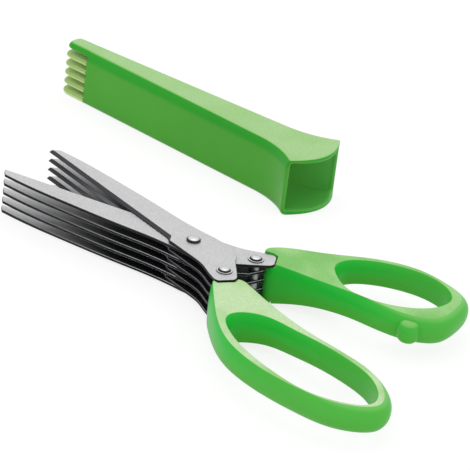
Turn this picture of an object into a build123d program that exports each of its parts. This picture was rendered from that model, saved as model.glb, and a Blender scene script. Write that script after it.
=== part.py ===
from build123d import *
import os
from math import cos, exp, hypot, radians, sin

# Herb scissors with five blade pairs, and their blade cover, in millimetres.
# The origin lies on the pivot axis, in the flat foot of the pivot rivet, with +Z up.
# The tips point to -X and the handles to +X. The scissors are modelled part open.
# Outlines are drawn for shut blades, with the finger half's edge on the -Y side.

# Blade stack
blade_pairs = 5
blade_thickness = 1.1
blade_pitch = 3.7
blade_play = 0.05          # gap between two faces that turn on each other
rest_half_angle = 8.86     # degrees that each half is turned away from shut

# Blade outline
blade_length = 84.0        # pivot to tip
tip_drop = 1.0             # cutting edge below the centre line at the tip
nose_length = 0.6          # sloping nose at the tip
nose_rise = 0.5            # top of the nose above the centre line
heel_distance = 7.2        # pivot to the heel of the cutting edge
heel_drop = 6.1
bevel_width = 1.3          # ground face along the cutting edge
edge_land = 0.25           # thickness left at the very edge
tail_corner = 0.9
# Back of the blade, from the tip on, as shares of the blade length
back_shares = ((0.972, 0.031), (0.84, 0.050), (0.60, 0.066), (0.34, 0.076), (0.13, 0.081))

# Blade tail, as shares of the distance from the pivot to the tail rivet
rivet_reach = 24.13
rivet_angle = 12.73        # degrees of the tail rivet below the centre line
tail_outer_shares = ((-0.17, -0.325), (0.30, -0.348), (0.66, -0.385), (0.92, -0.475), (1.10, -0.525))
tail_end_shares = ((1.17, -0.507), (1.275, -0.265))
tail_inner_shares = ((1.235, -0.190), (0.998, -0.003), (0.845, 0.115), (0.72, 0.236),
                     (0.54, 0.322), (0.34, 0.350), (0.08, 0.348))

# Tang, the longer tail of the middle blades inside the handle
tang_end_shares = ((1.12, -0.505), (1.144, -0.315))
tang_length = 13.0
tang_width = 3.6
tang_angle = 25.0

# Rivets and spacers
pivot_shaft_radius = 1.6
pivot_dome_radius = 2.67
pivot_dome_height = 1.2
pivot_foot_radius = 3.0
pivot_foot_height = 1.0
foot_round = 0.3
tail_shaft_radius = 1.45
tail_head_radius = 3.0
tail_flange_height = 0.35
flange_round = 0.15
tail_foot_height = 1.0
tail_dome_radius = 2.3
tail_dome_height = 0.6
bore_clearance = 0.05
pivot_spacer_radius = 3.6
tail_spacer_radius = 2.2

# Handles
grip_clearance = 0.1       # underside of both fronts above the ground
finger_top_rise = 0.18     # front of the finger handle above the blade stack
thumb_top_drop = 0.2       # front of the thumb handle below the top of the blade stack
rim_height = 9.7           # height of the bow at the far end
height_start = 22.0        # distance from the pivot where the height starts to fall
height_fall = 20.0         # distance over which it falls to the height of the bow
finger_lift = 27.0         # the same for the underside of the finger handle
height_steps = 9
grip_shift = 0.35          # finger handle sits this far below the middle, thumb handle above
edge_round = 1.3
corner_round = 2.4         # upright corners of the front
tail_gap = 0.5             # gap round a tail end in its recess

finger_front = 24.9
finger_reach = 120.9
finger_depth = 36.0
finger_mouth = 30.4        # inner corner of the front edge
# Outside of the finger bow as shares of its length past the front and of its depth
finger_outline_shares = (
    (0.216, -0.056), (0.393, -0.069), (0.639, -0.036), (0.872, -0.092), (1.0, -0.458),
    (0.915, -0.806), (0.75, -0.956), (0.56, -1.0), (0.334, -0.917), (0.118, -0.597))
finger_front_shares = (-0.358, -0.061)
finger_hole_shares = (
    (0.222, -0.578), (0.268, -0.339), (0.393, -0.228), (0.535, -0.164), (0.688, -0.142),
    (0.845, -0.226), (0.941, -0.494), (0.845, -0.774), (0.619, -0.889), (0.442, -0.844), (0.295, -0.728))

thumb_front = 21.2
thumb_reach = 97.6
thumb_depth = 46.9
thumb_mouth = 28.4
thumb_outline_shares = (
    (0.194, 0.156), (0.368, 0.203), (0.541, 0.213), (0.735, 0.183), (0.876, 0.205), (0.972, 0.311),
    (1.0, 0.542), (0.948, 0.84), (0.797, 0.966), (0.63, 1.0), (0.445, 0.917), (0.223, 0.678), (0.049, 0.431))
thumb_front_shares = (0.296, 0.102)
thumb_hole_shares = (
    (0.334, 0.565), (0.387, 0.42), (0.503, 0.292), (0.638, 0.281), (0.774, 0.354), (0.871, 0.499),
    (0.893, 0.682), (0.822, 0.827), (0.696, 0.896), (0.551, 0.874), (0.416, 0.78), (0.348, 0.672))

# Stop bumps on the facing sides of the two bows
bump_setback = 12.0        # both bumps sit this far short of the end of the thumb bow
bump_width = 6.8
finger_bump_rise = 5.5
finger_bump_height = 7.0
thumb_bump_rise = 3.3
thumb_bump_height = 8.0
bump_lift = 0.15           # lower end of a bump above the lower side of its bow
bump_round = 2.0
bump_seat = 1.5            # depth of a bump inside the bow that carries it

# Blade cover
cover_length = 127.5       # comb end to the corners of the mouth
cover_height = 23.2
cover_wall = 1.9
cover_end_half = 4.5
cover_waist_half = 9.0
cover_mouth_half = 16.0
cover_flare = 21.0
cover_mouth_bow = 6.4
cover_round = 2.0
cover_end_share = 0.88     # rounding of the comb end as a share of its half width
cover_end_wall = 3.0       # floor between the comb and the inside
comb_depth = 13.3
comb_spread = 0.2          # pitch of the comb above the pitch of the blades
comb_play = 0.4            # room for a blade on each side of its slot
cover_centre_y = 87.4
cover_mouth_x = -14.9

overrun = 6.0              # how far a cutting body runs past what it cuts

# Levels that follow from the sizes above
pair_height = 2 * blade_thickness + blade_play
stack_top = pivot_foot_height + blade_play + (blade_pairs - 1) * blade_pitch + pair_height
stack_middle = pivot_foot_height + blade_play + (stack_top - pivot_foot_height - blade_play) / 2
pivot_spacer_height = blade_pitch - pair_height - blade_play
tail_spacer_height = blade_pitch - blade_thickness
rivet_x = rivet_reach * cos(radians(rivet_angle))
rivet_y = -rivet_reach * sin(radians(rivet_angle))
far_reach = finger_reach + overrun
bump_distance = thumb_reach - bump_setback
finger_middle = stack_middle - grip_shift
thumb_middle = stack_middle + grip_shift

os.makedirs("parts", exist_ok=True)


def scaled(shares, size):
    """Points whose two shares are of one size."""
    return [(x * size, y * size) for x, y in shares]


def grip_points(shares, front, reach, depth):
    """Points of a bow, as shares of its length past the front and of its depth."""
    return [(front + x * (reach - front), y * depth) for x, y in shares]


def finger_level(index):
    """Underside of finger blade number index, counted from 0 at the top."""
    return stack_top - index * blade_pitch - blade_thickness


def thumb_level(index):
    """Underside of thumb blade number index."""
    return finger_level(index) - blade_play - blade_thickness


def blade_face(has_tang):
    """Plan outline of a blade, without its bores."""
    tip = (-blade_length, -tip_drop)
    heel = (-heel_distance, -heel_drop)
    outer = scaled(tail_outer_shares, rivet_reach)
    end = scaled(tang_end_shares if has_tang else tail_end_shares, rivet_reach)
    inner = scaled(tail_inner_shares[1:] if has_tang else tail_inner_shares, rivet_reach)
    back = scaled(back_shares, blade_length)
    back = [(-x, y) for x, y in back]
    nose = (nose_length - blade_length, nose_rise)
    edges = [
        Line(tip, heel),
        Line(heel, outer[0]),
        Spline(*outer),
        Line(outer[-1], end[0]),
        Line(end[0], end[1]),
        Line(end[1], inner[0]),
        Spline(*inner),
        Spline(*([inner[-1]] + back[::-1])),
        Line(back[0], nose),
        Line(nose, tip),
    ]
    face = make_face(edges)
    if has_tang:
        face += tang_face(end)
    return face


def tang_face(end):
    """Strip that runs on from the cut end of a tail into the handle."""
    mid_x = (end[0][0] + end[1][0]) / 2
    mid_y = (end[0][1] + end[1][1]) / 2
    strip = Pos((tang_length - tang_width) / 2) * Rectangle(tang_length + tang_width, tang_width)
    return Pos(mid_x, mid_y) * Rot(Z=-tang_angle) * strip


def bevel_cutter():
    """Wedge that grinds the cutting edge from the upper face down."""
    run_x = blade_length - heel_distance
    run_y = heel_drop - tip_drop
    run = hypot(run_x, run_y)
    along = Vector(run_x / run, -run_y / run, 0)
    inward = Vector(run_y / run, run_x / run, 0)
    start = Vector(-blade_length, -tip_drop, 0) - along * overrun
    plane = Plane(origin=start, x_dir=inward, z_dir=along)
    wedge = plane * Polygon(
        (-overrun, edge_land), (0, edge_land), (bevel_width, blade_thickness),
        (bevel_width, blade_thickness + overrun), (-overrun, blade_thickness + overrun), align=None)
    return extrude(wedge, run + overrun)


def blade_blank(has_tang):
    """Blade of the finger half with its underside at zero and no bores."""
    blank = extrude(blade_face(has_tang), blade_thickness)
    if not has_tang:
        corners = scaled(tail_end_shares + tail_outer_shares[-1:], rivet_reach)
        edges = [edge for edge in blank.edges().filter_by(Axis.Z)
                 if min(hypot(edge.center().X - x, edge.center().Y - y) for x, y in corners) < edge_land]
        blank = fillet(edges, tail_corner)
    return blank - bevel_cutter()


def blade(has_tang):
    """Blade of the finger half with its underside at zero."""
    pivot_bore = Cylinder(pivot_shaft_radius + bore_clearance, overrun)
    tail_bore = Pos(rivet_x, rivet_y) * Cylinder(tail_shaft_radius + bore_clearance, overrun)
    return blade_blank(has_tang) - pivot_bore - tail_bore


def is_outer(index):
    """True for the top and the bottom blade of a half."""
    return index in (0, blade_pairs - 1)


def finger_place(index):
    """Where finger blade number index goes while the blades are shut."""
    return Pos(Z=finger_level(index))


def thumb_place(index):
    """Where thumb blade number index goes: turned over about the centre line."""
    return Pos(Z=thumb_level(index) + blade_thickness) * Rot(X=180)


def height_curve(front, rim, fall):
    """Level of the upper or lower side of a handle against the distance from the pivot."""
    curve = []
    for step in range(height_steps + 1):
        run = (far_reach - height_start) * (step / height_steps) ** 2
        curve.append((height_start + run, rim + (front - rim) * exp(-(run / fall) ** 2)))
    return curve


def height_body(middle, top, lift):
    """Ring round the pivot whose sides come together smoothly from the blade end to the bow."""
    high = height_curve(top, middle + rim_height / 2, height_fall)
    low = height_curve(grip_clearance, middle - rim_height / 2, lift)
    profile = make_face([
        Line(low[0], high[0]),
        Spline(*high),
        Line(high[-1], low[-1]),
        Spline(*low[::-1]),
    ])
    return revolve(Plane.XZ * profile, Axis.Z)


def grip_blank(corners, outline, hole, heights):
    """Handle with its bow, rounded along its edges, before the tails are let in."""
    outer, inner = corners
    plan = make_face([Line(outer, inner), Spline(*([inner] + outline + [outer]))])
    plan = plan - make_face(Spline(*hole, periodic=True))
    slab = Pos(Z=-overrun) * extrude(plan, stack_top + 2 * overrun)
    upright = [edge for edge in slab.edges().filter_by(Axis.Z)
               if min(hypot(edge.center().X - x, edge.center().Y - y) for x, y in corners) < corner_round]
    slab = fillet(upright, corner_round)
    body = slab & height_body(*heights)
    rims = [edge for edge in body.edges() if edge.bounding_box().size.Z < rim_height]
    return fillet(rims, edge_round)


def grip(side, shares, heights, bump, place, turned):
    """One finished handle: blank, stop bump, and room for the blade tails."""
    front, reach, depth, mouth = side
    outline_shares, front_shares, hole_shares = shares
    outline = grip_points(outline_shares, front, reach, depth)
    hole = grip_points(hole_shares, front, reach, depth)
    corners = ((front, front_shares[0] * depth), (mouth, front_shares[1] * depth))
    handle = grip_blank(corners, outline, hole, heights)
    handle += stop_bump(handle, heights[0] - rim_height / 2 + bump_lift, *bump)
    for index in range(blade_pairs):
        handle -= place(index) * tail_room(index, (index == 0) != turned)
    return handle


def stop_bump(handle, low, rise, height, toward):
    """Upright half-round boss on the side of a bow that faces the other one."""
    probe = Pos(bump_distance, 0, low + height / 2) * Box(edge_land, 4 * thumb_depth, edge_land)
    walls = (handle & probe).bounding_box()
    wall_y = walls.max.Y if toward > 0 else walls.min.Y
    radius = bump_width / 2
    middle = toward * (rise - radius)
    root = -toward * bump_seat
    plan = make_face([
        ThreePointArc((-radius, middle), (0, toward * rise), (radius, middle)),
        Line((radius, middle), (radius, root)),
        Line((radius, root), (-radius, root)),
        Line((-radius, root), (-radius, middle)),
    ])
    boss = extrude(plan, height, dir=(0, 0, 1))
    rims = [edge for edge in boss.edges() if edge.bounding_box().size.Z < edge_land
            and abs(edge.center().Y - root) > edge_land]
    return Pos(bump_distance, wall_y, low) * fillet(rims, bump_round)


def tail_room(index, upward):
    """Room in a handle for one tail: a recess open on one side, or a close slot."""
    if not is_outer(index):
        return blade_blank(True)
    tail = scaled(tail_outer_shares + tail_end_shares + tail_inner_shares, rivet_reach)
    pocket = extrude(offset(Polygon(*tail, align=None), tail_gap), stack_top)
    if not upward:
        pocket = Pos(Z=blade_thickness - stack_top) * pocket
    return pocket


def dome(radius, height):
    """Low round cap with its flat side at zero."""
    ball = (radius ** 2 + height ** 2) / (2 * height)
    return (Pos(Z=height - ball) * Sphere(ball)) & (Pos(Z=height / 2) * Cylinder(radius, height))


def raised(radius, low, high):
    """Round bar on the Z axis between two levels."""
    return Pos(Z=(low + high) / 2) * Cylinder(radius, high - low)


def pivot_rivet():
    """Rivet that all blades share, with its flat foot at zero."""
    foot = raised(pivot_foot_radius, 0, pivot_foot_height)
    foot = fillet(foot.edges().filter_by(GeomType.CIRCLE).sort_by(Axis.Z)[:1], foot_round)
    shaft = raised(pivot_shaft_radius, pivot_foot_height, stack_top)
    head = Pos(Z=stack_top) * dome(pivot_dome_radius, pivot_dome_height)
    return foot + shaft + head


def tail_head():
    """Flange and cap of a tail rivet, with its flat side at zero."""
    flange = raised(tail_head_radius, 0, tail_flange_height)
    flange = fillet(flange.edges().filter_by(GeomType.CIRCLE).sort_by(Axis.Z)[-1:], flange_round)
    return flange + Pos(Z=tail_flange_height) * dome(tail_dome_radius, tail_dome_height)


def tail_rivet(low, high):
    """Rivet through the tails of one half, between the outer faces of its outer blades."""
    foot = raised(tail_head_radius, low - tail_foot_height, low)
    foot = fillet(foot.edges().filter_by(GeomType.CIRCLE).sort_by(Axis.Z)[:1], foot_round)
    shaft = raised(tail_shaft_radius, low, high)
    return foot + shaft + Pos(Z=high) * tail_head()


def spacer(radius, bore_radius, low, high):
    """Washer on a rivet between two levels."""
    return raised(radius, low, high) - raised(bore_radius, low - overrun, high + overrun)


def cover_plan(inset, start, run_out):
    """Plan outline of the cover from its comb end, inset by a wall."""
    waist_x = cover_length - cover_flare
    end_half = cover_end_half + (cover_waist_half - cover_end_half) * start / waist_x
    low = (start, inset - end_half)
    waist = (waist_x, inset - cover_waist_half)
    mouth = (cover_length, inset - cover_mouth_half)
    slope = Vector(waist[0] - low[0], waist[1] - low[1], 0)
    side = [Line(low, waist), TangentArc(waist, mouth, tangent=slope)]
    edges = side + [edge.mirror(Plane.XZ) for edge in side]
    edges.append(Line(low, (low[0], -low[1])))
    if run_out:
        out = (cover_length + cover_mouth_bow + overrun, mouth[1])
        edges += [Line(mouth, out), Line(out, (out[0], -out[1])), Line((out[0], -out[1]), (mouth[0], -mouth[1]))]
    else:
        edges.append(ThreePointArc(mouth, (cover_length + cover_mouth_bow, 0), (mouth[0], -mouth[1])))
    return make_face(edges)


def blade_cover():
    """Cover with a flared mouth and, at its narrow end, a comb that cleans between blades."""
    shell = extrude(cover_plan(0, 0, False), cover_height)
    upright = shell.edges().filter_by(Axis.Z).sort_by(Axis.X)[:2]
    shell = fillet(upright, cover_end_share * cover_end_half)
    long_edges = [edge for edge in shell.edges() if edge.bounding_box().size.Z < cover_wall
                  and edge.center().X < cover_length]
    shell = fillet(long_edges, cover_round)
    start = comb_depth + cover_end_wall
    hollow = Pos(Z=cover_wall) * extrude(cover_plan(cover_wall, start, True), cover_height - 2 * cover_wall)
    shell -= hollow
    slot = Box(comb_depth + overrun, 4 * cover_end_half, blade_thickness + 2 * comb_play)
    for index in range(blade_pairs):
        level = cover_height / 2 + (index - (blade_pairs - 1) / 2) * (blade_pitch + comb_spread)
        shell -= Pos((comb_depth - overrun) / 2, 0, level) * slot
    return Pos(cover_mouth_x - cover_length, cover_centre_y) * shell


def save(name, piece):
    """Write one piece to its own file."""
    export_step(piece, "parts/" + name + ".step")


finger_side = (finger_front, finger_reach, finger_depth, finger_mouth)
finger_shares = (finger_outline_shares, finger_front_shares, finger_hole_shares)
finger_heights = (finger_middle, stack_top + finger_top_rise, finger_lift)
finger_bump = (finger_bump_rise, finger_bump_height, 1)
thumb_side = (thumb_front, thumb_reach, thumb_depth, thumb_mouth)
thumb_shares = (thumb_outline_shares, thumb_front_shares, thumb_hole_shares)
thumb_heights = (thumb_middle, stack_top - thumb_top_drop, height_fall)
thumb_bump = (thumb_bump_rise, thumb_bump_height, -1)
finger_turn = Rot(Z=-rest_half_angle)
thumb_turn = Rot(Z=rest_half_angle)
finger_axis = finger_turn * Pos(rivet_x, rivet_y)
thumb_axis = thumb_turn * Pos(rivet_x, -rivet_y)
finger_low = finger_level(blade_pairs - 1)
thumb_low = thumb_level(blade_pairs - 1)
thumb_high = thumb_level(0) + blade_thickness

save("finger_handle", finger_turn * grip(
    finger_side, finger_shares, finger_heights, finger_bump, finger_place, False))
save("thumb_handle", thumb_turn * grip(
    thumb_side, thumb_shares, thumb_heights, thumb_bump, thumb_place, True))
save("pivot_rivet", pivot_rivet())
save("finger_rivet", finger_axis * tail_rivet(finger_low, stack_top))
save("thumb_rivet", thumb_axis * tail_rivet(thumb_low, thumb_high))
save("blade_cover", blade_cover())

for number in range(blade_pairs):
    piece = blade(not is_outer(number))
    save("finger_blade_%d" % (number + 1), finger_turn * finger_place(number) * piece)
    save("thumb_blade_%d" % (number + 1), thumb_turn * thumb_place(number) * piece)

pivot_bore = pivot_shaft_radius + bore_clearance
tail_bore = tail_shaft_radius + bore_clearance
for number in range(1, blade_pairs):
    seat = finger_level(number) + blade_thickness
    save("pivot_spacer_%d" % number, spacer(pivot_spacer_radius, pivot_bore, seat, seat + pivot_spacer_height))
    save("finger_spacer_%d" % number, finger_axis * spacer(
        tail_spacer_radius, tail_bore, seat, seat + tail_spacer_height))
    seat = thumb_level(number) + blade_thickness
    save("thumb_spacer_%d" % number, thumb_axis * spacer(
        tail_spacer_radius, tail_bore, seat, seat + tail_spacer_height))
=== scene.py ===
"""Herb scissors with five blade pairs, and their cover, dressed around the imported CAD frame.

Sizes are millimetres in the CAD frame: the pivot axis is Z, the tips point to -X and the handles
to +X. Outlines are drawn for shut blades and then turned to the angle at which each half is shown.
Meshes are written in metres.
"""
import logging
import math
from contextlib import contextmanager
from dataclasses import dataclass, field, replace
from enum import Enum
from typing import Any, Iterator, Optional, Sequence, Union

import bmesh
import bpy
import numpy as np
from mathutils import Matrix, Vector


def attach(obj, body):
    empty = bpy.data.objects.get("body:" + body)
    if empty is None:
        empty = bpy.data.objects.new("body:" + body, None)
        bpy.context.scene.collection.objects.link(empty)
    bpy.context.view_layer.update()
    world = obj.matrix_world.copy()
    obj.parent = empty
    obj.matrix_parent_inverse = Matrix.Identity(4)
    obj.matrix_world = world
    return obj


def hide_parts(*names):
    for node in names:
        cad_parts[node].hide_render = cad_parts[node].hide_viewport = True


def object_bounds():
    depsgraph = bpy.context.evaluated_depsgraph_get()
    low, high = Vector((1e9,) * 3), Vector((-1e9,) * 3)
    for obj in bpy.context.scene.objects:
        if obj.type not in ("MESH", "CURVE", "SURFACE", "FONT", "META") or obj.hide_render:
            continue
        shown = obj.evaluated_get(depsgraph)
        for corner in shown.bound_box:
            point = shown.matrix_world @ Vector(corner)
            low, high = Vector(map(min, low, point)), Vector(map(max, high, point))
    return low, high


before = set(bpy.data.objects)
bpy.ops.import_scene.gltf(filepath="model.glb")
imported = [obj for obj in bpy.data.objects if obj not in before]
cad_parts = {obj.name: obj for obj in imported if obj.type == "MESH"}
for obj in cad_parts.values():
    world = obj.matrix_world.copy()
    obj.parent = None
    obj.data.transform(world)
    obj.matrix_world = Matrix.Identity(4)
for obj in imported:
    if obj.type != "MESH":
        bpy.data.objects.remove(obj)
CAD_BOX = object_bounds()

LOG = logging.getLogger("herb_scissors")
METRE = 0.001
SAME_PLACE = 1e-6  # points closer than this count as one, in millimetres on a curve and metres in a mesh
NO_LENGTH = 1e-7  # edges shorter than this are taken out of a mesh, in metres
SLIVER = 4e-6  # the same after a Boolean
LONGEST_SLIT = 6  # edges round a slit that is closed after a Boolean
Point = tuple[float, float]
Points = Union[Sequence[Point], np.ndarray]
Triple = tuple[float, float, float]
Colour = tuple[float, float, float, float]


class Half(Enum):
    """The two halves of the scissors; the value is the side of the pivot that the bow is on."""

    FINGER = -1
    THUMB = 1

    @property
    def word(self) -> str:
        """Word that starts the names of this half's nodes."""
        return self.name.lower()

    @property
    def body(self) -> str:
        """CAD body that this half rides on."""
        return self.word + "_half"

    @property
    def angle(self) -> float:
        """Degrees by which this half is turned open."""
        return self.value * STACK.half_angle

    @property
    def flipped(self) -> bool:
        """Whether this half's blades are turned over."""
        return self is Half.THUMB


@dataclass(frozen=True)
class Stack:
    """Levels and angles that all pieces of the scissors share."""

    pairs: int = 5
    thickness: float = 1.1
    pitch: float = 3.7
    play: float = 0.05
    foot_height: float = 1.0
    half_angle: float = 8.86

    @property
    def top(self) -> float:
        """Upper face of the top blade."""
        bottom = self.foot_height + self.play
        return bottom + (self.pairs - 1) * self.pitch + 2 * self.thickness + self.play

    @property
    def middle(self) -> float:
        """Level halfway up the blades."""
        return (self.top + self.foot_height + self.play) / 2

    def level(self, half: Half, index: int) -> float:
        """Underside of one blade of a half, counted from 0 at the top."""
        finger = self.top - index * self.pitch - self.thickness
        return finger - self.play - self.thickness if half.flipped else finger


STACK = Stack()


# Curves and surfaces

SHARPEST = 0.5  # least cosine by which an offset is stretched at a corner
QUARTER = np.linspace(0, math.pi / 2, 6)  # turns of a quarter-round edge


def spline(points: Points, closed: bool = False, steps: int = 24) -> np.ndarray:
    """Smooth curve through points: cubic runs with matching slope and bend where they meet.

    The slopes solve one small linear system. An open curve takes its end slopes from the parabola
    through the three points nearest each end.

    Args:
        points: Points to pass through.
        closed: Whether the curve runs back to its first point.
        steps: Samples in each run.

    Returns:
        Samples of the curve, without the last point if it is closed.
    """
    p = np.array(points, float)
    if closed:
        p = np.vstack([p, p[:1]])
    h = np.linalg.norm(np.diff(p, axis=0), axis=1)
    d = np.diff(p, axis=0) / h[:, None]
    n = len(p)
    system, right = np.zeros((n, n)), np.zeros((n, 2))
    for i in range(1, n - 1):
        system[i, i - 1 : i + 2] = h[i], 2 * (h[i - 1] + h[i]), h[i - 1]
        right[i] = 3 * (h[i] * d[i - 1] + h[i - 1] * d[i])
    if closed:
        system[0, [1, 0, n - 2]] = h[-1], 2 * (h[0] + h[-1]), h[0]
        right[0] = 3 * (h[-1] * d[0] + h[0] * d[-1])
        system[-1, [0, -1]] = 1, -1
    else:
        system[0, 0] = system[-1, -1] = 1
        right[0] = (d[0] * (2 * h[0] + h[1]) - d[1] * h[0]) / (h[0] + h[1])
        right[-1] = (d[-1] * (2 * h[-1] + h[-2]) - d[-2] * h[-1]) / (h[-1] + h[-2])
    m = np.linalg.solve(system, right)
    t = np.linspace(0, 1, steps, endpoint=False)[None, :, None]
    a, b, h = p[:-1, None], p[1:, None], h[:, None, None]
    ma, mb = m[:-1, None] * h, m[1:, None] * h
    curve = (2 * t**3 - 3 * t**2 + 1) * a + (t**3 - 2 * t**2 + t) * ma
    curve = (curve + (3 * t**2 - 2 * t**3) * b + (t**3 - t**2) * mb).reshape(-1, 2)
    return curve if closed else np.vstack([curve, p[-1:]])


def joined(*runs: Points) -> np.ndarray:
    """Closed loop from runs laid end to end, without points that repeat, anticlockwise.

    Args:
        runs: The runs, each of one or more points.

    Returns:
        The loop.
    """
    loop = np.vstack([np.atleast_2d(np.array(run, float)) for run in runs])
    loop = loop[np.linalg.norm(loop - np.roll(loop, 1, 0), axis=1) > SAME_PLACE]
    nxt = np.roll(loop, -1, 0)
    area = np.sum(loop[:, 0] * nxt[:, 1] - loop[:, 1] * nxt[:, 0])
    return loop if area > 0 else loop[::-1]


def travelled(loop: np.ndarray) -> np.ndarray:
    """Distance along an open line of points, starting at zero."""
    return np.concatenate([[0.0], np.cumsum(np.linalg.norm(np.diff(loop, axis=0), axis=1))])


def rounded(loop: np.ndarray, corner: Point, reach: float, steps: int = 10) -> np.ndarray:
    """Loop with one corner replaced by a parabola that leaves each side at the same distance.

    Args:
        loop: Closed loop of points.
        corner: The corner; the nearest point of the loop is taken.
        reach: Distance from the corner at which the parabola starts and ends.
        steps: Points on the parabola.

    Returns:
        The new loop.
    """
    at = int(np.argmin(np.linalg.norm(loop - np.array(corner), axis=1)))
    line = np.roll(loop, len(loop) // 2 - at, 0)
    middle = len(loop) // 2
    s = travelled(line)
    start, end = s[middle] - reach, s[middle] + reach
    a, b = (np.array([np.interp(at, s, line[:, k]) for k in range(2)]) for at in (start, end))
    t = np.linspace(0, 1, steps)[:, None]
    bend = (1 - t) ** 2 * a + 2 * t * (1 - t) * line[middle] + t**2 * b
    return np.vstack([line[s < start - SAME_PLACE], bend, line[s > end + SAME_PLACE]])


def evenly(loop: np.ndarray, count: int) -> np.ndarray:
    """Closed loop resampled to points at equal distances along it.

    Args:
        loop: Closed loop of points.
        count: Number of points in the new loop.

    Returns:
        The new loop.
    """
    line = np.vstack([loop, loop[:1]])
    s = travelled(line)
    at = np.linspace(0, s[-1], count, endpoint=False)
    return np.stack([np.interp(at, s, line[:, k]) for k in range(2)], axis=1)


def inward(loop: np.ndarray) -> np.ndarray:
    """Offset directions of an anticlockwise loop: a unit step moves both sides in by one.

    Args:
        loop: Closed loop of points.

    Returns:
        One direction for each point.
    """
    ahead = np.roll(loop, -1, 0) - loop
    ahead /= np.linalg.norm(ahead, axis=1, keepdims=True)
    normal = np.stack([-ahead[:, 1], ahead[:, 0]], axis=1)
    bisector = normal + np.roll(normal, 1, 0)
    bisector /= np.linalg.norm(bisector, axis=1, keepdims=True)
    lean = np.sum(bisector * normal, axis=1, keepdims=True)
    return bisector / np.maximum(lean, SHARPEST)


def rings(loop: np.ndarray, insets: np.ndarray, levels: np.ndarray) -> np.ndarray:
    """Stack of rings: each is the loop moved in by its inset and lifted to its level.

    Args:
        loop: Closed loop of shape (points, 2).
        insets: Insets of shape (rings, 1) or (rings, points).
        levels: Levels of the same kind.

    Returns:
        Grid of shape (rings, points, 3).
    """
    shape = (len(insets), len(loop))
    step = np.broadcast_to(insets, shape)[..., None]
    flat = loop[None] + step * inward(loop)[None]
    return np.concatenate([flat, np.broadcast_to(levels, shape)[..., None]], axis=2)


def slab(loop: np.ndarray, low: float, high: float, round_low: float = 0.0,
         round_high: float = 0.0) -> np.ndarray:
    """Plate with quarter-round edges: insets follow 1 - sin and levels 1 - cos of the turn.

    Args:
        loop: Closed plan outline.
        low: Lower level.
        high: Upper level.
        round_low: Radius of the lower edge.
        round_high: Radius of the upper edge.

    Returns:
        Grid of rings from the lower to the upper face.
    """
    sine, cosine = 1 - np.sin(QUARTER), 1 - np.cos(QUARTER)
    insets = np.concatenate([round_low * sine, round_high * cosine])
    levels = np.concatenate([low + round_low * cosine, high - round_high * sine])
    return rings(loop, insets[:, None], levels[:, None])


def revolved(profile: Points, spokes: int = 64) -> np.ndarray:
    """Surface of revolution: each (radius, level) of the profile becomes one ring about Z.

    Args:
        profile: Radii and levels, from one end to the other.
        spokes: Points in each ring.

    Returns:
        Grid of rings.
    """
    angle = np.linspace(0, 2 * math.pi, spokes, endpoint=False)
    p = np.array(profile, float)
    x, y = p[:, :1] * np.cos(angle), p[:, :1] * np.sin(angle)
    return np.stack([x, y, np.broadcast_to(p[:, 1:], x.shape)], axis=2)


def arc(centre: Point, radius: Point, start: float, end: float, steps: int = 10) -> list[Point]:
    """Points on an ellipse arc between two angles in degrees."""
    turn = np.radians(np.linspace(start, end, steps))
    return list(zip(centre[0] + radius[0] * np.cos(turn), centre[1] + radius[1] * np.sin(turn)))


def turned(grid: np.ndarray, degrees: float, flipped: bool = False) -> np.ndarray:
    """Grid turned about Z, after it is turned over about X where flipped is true.

    Args:
        grid: Points in millimetres.
        degrees: Turn about Z.
        flipped: Whether it is turned over first.

    Returns:
        A new grid.
    """
    out = grid * np.array([1, -1, -1]) if flipped else grid.copy()
    c, s = math.cos(math.radians(degrees)), math.sin(math.radians(degrees))
    out[..., :2] = out[..., :2] @ np.array([[c, s], [-s, c]])
    return out


@contextmanager
def edited(mesh: bpy.types.Mesh) -> Iterator[bmesh.types.BMesh]:
    """Opens a mesh for editing and writes it back at the end.

    Args:
        mesh: The mesh, changed in place.

    Yields:
        The opened mesh.
    """
    work = bmesh.new()
    work.from_mesh(mesh)
    yield work
    work.to_mesh(mesh)
    work.free()


def linked(name: str, data: Any) -> bpy.types.Object:
    """New object that is part of the scene.

    Args:
        name: Name of the object.
        data: Its mesh, camera or lamp.

    Returns:
        The object.
    """
    item = bpy.data.objects.new(name, data)
    bpy.context.scene.collection.objects.link(item)
    return item


@dataclass
class Skin:
    """A closed surface made of one or more grids of rings, before it becomes a Blender mesh."""

    vertices: list[np.ndarray] = field(default_factory=list)
    faces: list[list[int]] = field(default_factory=list)
    size: int = 0

    def add(self, grid: np.ndarray, wrap: bool = False) -> "Skin":
        """Adds one grid whose columns close on themselves.

        Args:
            grid: Points of shape (rings, points, 3) in millimetres.
            wrap: Whether the last ring runs on into the first; otherwise both ends get a face.

        Returns:
            This skin.
        """
        rows, cols = grid.shape[:2]
        index = np.arange(rows * cols).reshape(rows, cols) + self.size
        near = index if wrap else index[:-1]
        far = np.roll(index, -1, 0) if wrap else index[1:]
        quads = np.stack([near, np.roll(near, -1, 1), np.roll(far, -1, 1), far], axis=2).reshape(-1, 4)
        self.faces += quads.tolist()
        if not wrap:
            self.faces += [index[0][::-1].tolist(), index[-1].tolist()]
        self.vertices.append(grid.reshape(-1, 3) * METRE)
        self.size += rows * cols
        return self

    def mesh(self, name: str) -> bpy.types.Mesh:
        """Blender mesh with merged poles and normals that point outwards.

        Args:
            name: Name of the mesh.

        Returns:
            The mesh.
        """
        made = bpy.data.meshes.new(name)
        made.from_pydata(np.vstack(self.vertices).tolist(), [], self.faces)
        with edited(made) as work:
            bmesh.ops.remove_doubles(work, verts=work.verts, dist=SAME_PLACE)
            bmesh.ops.dissolve_degenerate(work, edges=work.edges, dist=NO_LENGTH)
            bmesh.ops.recalc_face_normals(work, faces=work.faces)
        return made


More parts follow.
